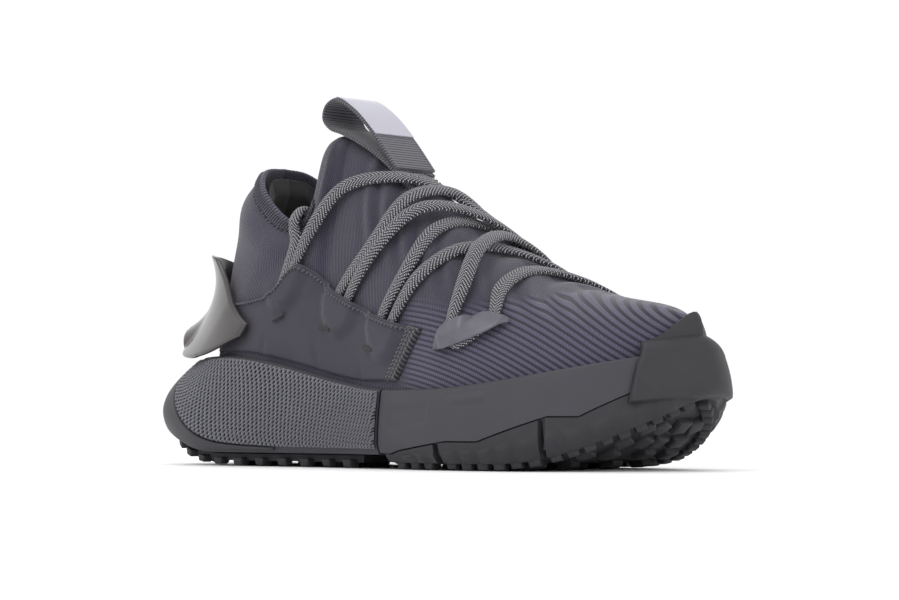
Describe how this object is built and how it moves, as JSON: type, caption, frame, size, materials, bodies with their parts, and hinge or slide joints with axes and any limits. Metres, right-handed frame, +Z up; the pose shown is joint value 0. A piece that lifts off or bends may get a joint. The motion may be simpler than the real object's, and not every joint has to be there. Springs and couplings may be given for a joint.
{
  "type": "running shoe",
  "caption": "Right-foot knit running shoe with foam sole, lugged rubber outsole, flared heel counter, laces and a pull loop on the tongue.",
  "frame": {"origin": "centre of the overall box in plan, on the ground plane the outsole stands on", "axes": "+X from heel to toe, +Y to the inner (medial) side of a right shoe, +Z up"},
  "size_m": [0.2942, 0.103, 0.1627],
  "materials": {
    "midsole_foam": "matte moulded foam",
    "heel_pad_rubber": "smooth matte",
    "sole_mesh": "coarse knitted net",
    "outsole_rubber": "matte moulded rubber",
    "board": "plain non-woven",
    "sockliner": "brushed textile over foam",
    "upper_knit": "ribbed engineered knit",
    "padding": "soft foam",
    "lining": "smooth knit",
    "lace": "flecked flat braid",
    "aglet": "shrunk plastic tip",
    "saddle": "smooth bonded overlay",
    "edge_knit": "chain-knit edge",
    "film": "smooth welded film",
    "counter_plastic": "polished moulded plastic",
    "badge": "smooth dark badge with a plain rim",
    "collar_rib": "ribbed knit band",
    "webbing": "ribbed woven webbing",
    "label": "pale satin label",
    "thread": "dense stitching"
  },
  "bodies": {
    "shoe": {"heel_foam": "midsole_foam", "forefoot_foam": "midsole_foam", "rear_heel_pad": "heel_pad_rubber", "mesh_wrap_lateral": "sole_mesh", "mesh_wrap_medial": "sole_mesh", "outsole_heel": "outsole_rubber", "outsole_arch": "outsole_rubber", "outsole_ball": "outsole_rubber", "outsole_toe": "outsole_rubber", "strobel_board": "board", "knit_bootie": "upper_knit", "collar_pad_lateral": "padding", "collar_pad_medial": "padding", "collar_lining": "lining", "heel_stiffener": "board", "toe_puff": "board", "lace": "lace", "lace_end_lateral": "lace", "lace_end_medial": "lace", "saddle_lateral": "saddle", "edge_band_lateral": "edge_knit", "saddle_medial": "saddle", "edge_band_medial": "edge_knit", "film_lateral": "film", "film_medial": "film", "bar_tack_1": "thread", "bar_tack_2": "thread", "bar_tack_3": "thread", "bar_tack_4": "thread", "bar_tack_5": "thread", "bar_tack_6": "thread", "heel_counter": "counter_plastic", "heel_badge": "badge", "collar_band": "collar_rib", "toe_rubber": "outsole_rubber", "pull_loop_base": "webbing"},
    "liner": {"sockliner": "sockliner", "aglet_lateral": "aglet", "aglet_medial": "aglet"},
    "loop": {"pull_loop": "webbing", "pull_loop_label": "label"}
  },
  "joints": [
    {"name": "liner_lift", "type": "hinge", "parent": "shoe", "child": "liner", "pos_m": [0.1292, 0.0109, 0.0336], "axis": [0, 1, 0], "range_deg": [0, 2], "deforming": ["lace_end_lateral", "lace_end_medial"]},
    {"name": "loop_fold", "type": "hinge", "parent": "shoe", "child": "loop", "pos_m": [-0.0078, 0, 0.1259], "axis": [0, 1, 0], "range_deg": [0, 62]}
  ]
}
